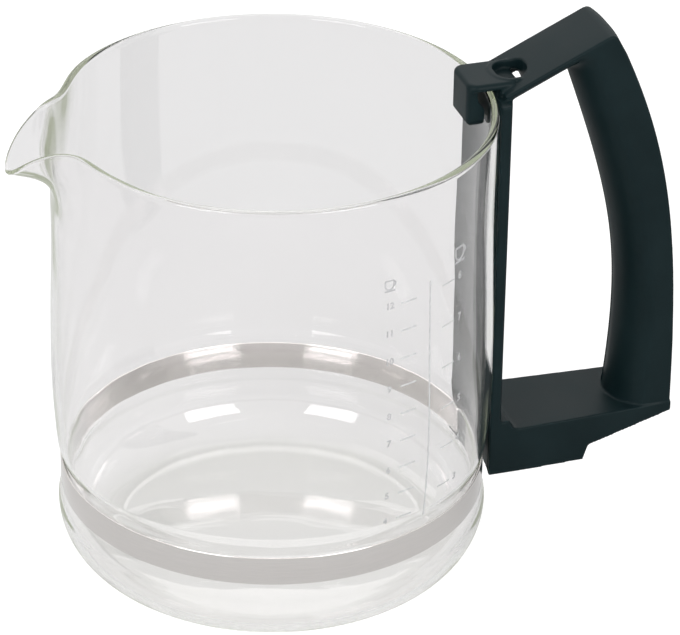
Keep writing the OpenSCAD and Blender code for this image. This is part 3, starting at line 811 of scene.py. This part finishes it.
def noise(tree, scale, detail=2.0, stretch=(1, 1, 1)):
    """Noise over the object's own metres; scale counts features along a metre."""
    place = node(tree, "TexCoord").outputs["Object"]
    if stretch != (1, 1, 1):
        place = node(tree, "Mapping", {"Vector": place, "Scale": stretch}).outputs["Vector"]
    n = node(tree, "TexNoise", {"Vector": place, "Scale": scale, "Detail": detail})
    return n.outputs["Fac"]


def spread(tree, value, low, high, start=0.0, end=1.0):
    """value from start to end spread over low to high, which are numbers."""
    n = node(tree, "MapRange", {
        "Value": value, "From Min": start, "From Max": end, "To Min": low, "To Max": high,
    })
    return n.outputs["Result"]


def ramp(tree, value, low, high):
    """The middle of a noise's range spread over low to high: numbers or colours."""
    if isinstance(low, (int, float)):
        return spread(tree, value, low, high, *NOISE_RANGE)
    n = node(tree, "ValToRGB", {"Fac": value})
    for stop, position, colour in zip(n.color_ramp.elements, NOISE_RANGE, (low, high)):
        stop.position = position
        stop.color = (*colour, 1)
    return n.outputs["Color"]


def bump(tree, height, depth, strength=1.0):
    inputs = {"Height": height, "Distance": depth, "Strength": strength}
    return node(tree, "Bump", inputs).outputs["Normal"]


def glass_material():
    """Clear blown glass with a faint green body colour and slow waves in its surface."""
    m, tree, out = material("clear_glass")
    waves = bump(tree, noise(tree, 55, 1.0, (1, 1, 0.45)), 0.00012)
    glass = node(tree, "BsdfPrincipled", {
        "Base Color": (0.995, 0.987, 0.992, 1),
        "Roughness": 0.0,
        "IOR": GLASS_IOR,
        "Transmission Weight": 1.0,
        "Normal": waves,
    })
    rays = node(tree, "LightPath").outputs
    # Light held in the wall by total reflection leaves it, tinted green by its way through the
    # glass and darkened further by painted shade, which draws the dark olive lines along the rim.
    # The renderer's limit of bounces would make it black.
    mirror = node(tree, "Fresnel", {"IOR": GLASS_IOR}).outputs[0]
    held = node(tree, "Math", {0: mirror, 1: HELD_SHARE}, operation="GREATER_THAN").outputs[0]
    depth = rays["Ray Depth"]
    late = node(tree, "Math", {0: depth, 1: HELD_BOUNCES}, operation="GREATER_THAN").outputs[0]
    led = node(tree, "Math", {0: held, 1: late}, operation="MULTIPLY").outputs[0]
    # Painted shade: this dark olive colour is much darker than the glass's body colour would make
    # it.
    leak_with_painted_shade = node(tree, "BsdfTransparent", {"Color": (0.44, 0.48, 0.35, 1)})
    lit = node(tree, "MixShader", {0: led, 1: glass.outputs[0], 2: leak_with_painted_shade.outputs[0]})
    # Lamps shine straight through, so that the shadow stays light.
    clear = node(tree, "BsdfTransparent", {"Color": (0.80, 0.80, 0.80, 1)})
    surface = {0: rays["Is Shadow Ray"], 1: lit.outputs[0], 2: clear.outputs[0]}
    both = node(tree, "MixShader", surface)
    tree.links.new(both.outputs[0], out.inputs["Surface"])
    body = node(tree, "VolumeAbsorption", {"Color": (0.82, 0.84, 0.68, 1), "Density": 5.0})
    tree.links.new(body.outputs[0], out.inputs["Volume"])
    return m


def plastic_material():
    """Near-black moulded plastic with a fine spark-eroded grain, a slow change of gloss and no
    sheen where it is seen edge on."""
    m, tree, out = material("handle_plastic")
    grain = noise(tree, 2600, 3.0)
    cloud = noise(tree, 60, 4.0)
    facing = node(tree, "LayerWeight").outputs["Facing"]
    skin = node(tree, "BsdfPrincipled", {
        "Base Color": ramp(tree, cloud, (0.0045, 0.0122, 0.0140), (0.0065, 0.0157, 0.0178)),
        "Roughness": ramp(tree, cloud, 0.36, 0.46),
        "IOR": 1.5,
        "Specular IOR Level": spread(tree, facing, 0.10, 0.0, 0.69, 0.86),
        "Normal": bump(tree, grain, 0.00002, 0.8),
    })
    tree.links.new(skin.outputs[0], out.inputs["Surface"])
    return m


def metal_material(name, colour, low, high, stretch=(1, 1, 1)):
    """Metal whose colour, roughness (low to high) and surface follow one stretched noise."""
    m, tree, out = material(name)
    lines = noise(tree, 160, 4.0, stretch)
    skin = node(tree, "BsdfPrincipled", {
        "Base Color": ramp(tree, lines, tuple(0.94 * c for c in colour), colour),
        "Metallic": 1.0,
        "Roughness": ramp(tree, lines, low, high),
        "Normal": bump(tree, lines, 0.000004, 0.3),
    })
    tree.links.new(skin.outputs[0], out.inputs["Surface"])
    return m


def print_material(name, low, high):
    """Pale fired enamel, a little uneven as screen print is."""
    m, tree, out = material(name)
    patches = noise(tree, 900, 3.0)
    skin = node(tree, "BsdfPrincipled", {
        "Base Color": ramp(tree, patches, low, high),
        "Roughness": ramp(tree, patches, 0.5, 0.75),
        "Normal": bump(tree, patches, 0.00001, 0.5),
    })
    tree.links.new(skin.outputs[0], out.inputs["Surface"])
    return m


GLASS = glass_material()
PLASTIC = plastic_material()
BAND_STEEL = metal_material("band_steel", (0.68, 0.655, 0.64), 0.11, 0.15, (1, 1, 60))
SCREW_STEEL = metal_material("screw_steel", (0.72, 0.72, 0.71), 0.16, 0.3)
CAST_METAL = metal_material("cast_metal", (0.5, 0.5, 0.51), 0.45, 0.65)
STROKE_ENAMEL = print_material("stroke_print", (0.59, 0.59, 0.60), (0.73, 0.73, 0.74))
NUMBER_ENAMEL = print_material("number_print", (0.45, 0.45, 0.46), (0.60, 0.60, 0.61))

# ---------------------------------------------------------------- pieces
add_piece("glass_jug_fine", jug_mesh(), GLASS, ["glass_jug"])
add_piece("clamp_band_bent", band_mesh(), BAND_STEEL, ["clamp_band"])
add_piece("handle_moulded", handle_mesh(), PLASTIC, ["handle"])

small_numbers = scale_numbers(12, 4, SMALL_SIZE, SMALL_PLACE, SMALL_PITCH)
large_numbers = scale_numbers(8, 3, LARGE_SIZE, LARGE_PLACE, LARGE_PITCH)
small_sign = cup_icon(SMALL_SIGN_SIZE, SMALL_PLACE, SMALL_SIGN_Z)
large_sign = cup_icon(LARGE_SIGN_SIZE, LARGE_PLACE, LARGE_SIGN_Z)
add_piece("small_cup_numbers", small_numbers, NUMBER_ENAMEL)
add_piece("large_cup_numbers", large_numbers, NUMBER_ENAMEL)
add_piece("small_cup_sign", small_sign, NUMBER_ENAMEL)
add_piece("large_cup_sign", large_sign, NUMBER_ENAMEL)

for name, look in {
    "scale_line": STROKE_ENAMEL,
    "small_cup_marks": STROKE_ENAMEL,
    "large_cup_marks": STROKE_ENAMEL,
    "draw_block": CAST_METAL,
    "clamp_screw": SCREW_STEEL,
    "clamp_washer": SCREW_STEEL,
}.items():
    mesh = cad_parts[name].data
    mesh.materials.clear()
    mesh.materials.append(look)

# ---------------------------------------------------------------- camera
# Fitted to the photo: where it stands, and its focal length and middle in the photo's pixels.
TURN = math.radians(17)
TILT = math.radians(29.318)
ROLL = math.radians(0.309)
DISTANCE = 1099.56
TARGET_Z = 73.92
FOCUS_PX = 3874.85
MIDDLE_PX = (272.343, 316.913)
FRAME_PX = (680, 635)
SENSOR = 36.0

level = math.cos(TILT)
view = Vector((math.sin(TURN) * level, math.cos(TURN) * level, -math.sin(TILT)))
flat_right = Vector((math.cos(TURN), -math.sin(TURN), 0))
flat_up = flat_right.cross(view)
right = math.cos(ROLL) * flat_right + math.sin(ROLL) * flat_up
up = math.cos(ROLL) * flat_up - math.sin(ROLL) * flat_right
camera_data = bpy.data.cameras.new("camera")
camera = bpy.data.objects.new("camera", camera_data)
bpy.context.scene.collection.objects.link(camera)
axes = Matrix((right, up, -view)).transposed().to_4x4()
camera.matrix_world = Matrix.Translation((Vector((0, 0, TARGET_Z)) - DISTANCE * view) * MM) @ axes
camera_data.sensor_width = SENSOR
camera_data.lens = SENSOR * FOCUS_PX / FRAME_PX[0]
camera_data.shift_x = (FRAME_PX[0] / 2 - MIDDLE_PX[0]) / FRAME_PX[0]
camera_data.shift_y = -(FRAME_PX[1] / 2 - MIDDLE_PX[1]) / FRAME_PX[0]
camera_data.clip_end = 50
bpy.context.scene.camera = camera

# ---------------------------------------------------------------- studio
# Metres from here on.
FLOOR_R = 6.0
FLOOR_Z = -0.0002
FLOOR_GREY = 0.42
FLOOR_GLOW = 0.38
FLOOR_GLOW_TO_CAMERA = 0.37
WORLD_GLOW = 1.0
WORLD_GLOW_ON_MATT = 0.6
AIM_Z = 0.06
floor_mesh = bpy.data.meshes.new("floor")
work = bmesh.new()
bmesh.ops.create_circle(work, cap_ends=True, segments=96, radius=FLOOR_R)
work.to_mesh(floor_mesh)
work.free()
floor = bpy.data.objects.new("floor", floor_mesh)
floor.location.z = FLOOR_Z
bpy.context.scene.collection.objects.link(floor)
floor_look, tree, out = material("floor")
rays = node(tree, "LightPath").outputs
paint = node(tree, "BsdfDiffuse", {"Color": (FLOOR_GREY, FLOOR_GREY, FLOOR_GREY, 1)})
lift = spread(tree, rays["Is Diffuse Ray"], FLOOR_GLOW, 0.0)
terms = {0: rays["Is Camera Ray"], 1: FLOOR_GLOW_TO_CAMERA, 2: lift}
strength = node(tree, "Math", terms, operation="MULTIPLY_ADD").outputs[0]
glow = node(tree, "Emission", {"Color": (1, 1, 1, 1), "Strength": strength})
both = node(tree, "AddShader", {0: paint.outputs[0], 1: glow.outputs[0]})
tree.links.new(both.outputs[0], out.inputs["Surface"])
floor_mesh.materials.append(floor_look)

world = bpy.data.worlds.new("studio")
bpy.context.scene.world = world
world.use_nodes = True
tree = world.node_tree
tree.nodes.clear()
rays = node(tree, "LightPath").outputs
strength = spread(tree, rays["Is Diffuse Ray"], WORLD_GLOW, WORLD_GLOW_ON_MATT)
back = node(tree, "Background", {"Color": (1, 1, 1, 1), "Strength": strength})
out = node(tree, "OutputWorld")
tree.links.new(back.outputs[0], out.inputs["Surface"])


def softbox(name, side, rise, distance, width, height, radiance):
    """A rectangular lamp that faces the jug, in metres; side turns it from the camera's side
    and rise lifts it from the floor, both in degrees."""
    turn = TURN + math.radians(side)
    tilt = math.radians(rise)
    level = math.cos(tilt)
    towards = Vector((-math.sin(turn) * level, -math.cos(turn) * level, math.sin(tilt)))
    data = bpy.data.lights.new(name, "AREA")
    data.shape = "RECTANGLE"
    data.size = width
    data.size_y = height
    data.energy = radiance * math.pi * width * height
    lamp = bpy.data.objects.new(name, data)
    lamp.location = Vector((0, 0, AIM_Z)) + towards * distance
    lamp.rotation_euler = towards.to_track_quat("Z", "Y").to_euler()
    bpy.context.scene.collection.objects.link(lamp)


softbox("front_right", -36, 22, 1.5, 0.76, 0.62, 5.6)
softbox("front_left", 35, 22, 1.5, 0.72, 0.62, 5.6)
softbox("rear", 165, 56, 1.6, 1.5, 1.3, 1.3)

scene = bpy.context.scene
scene.view_settings.view_transform = "Standard"
scene.cycles.use_denoising = True
scene.cycles.max_bounces = 24
scene.cycles.transmission_bounces = 24
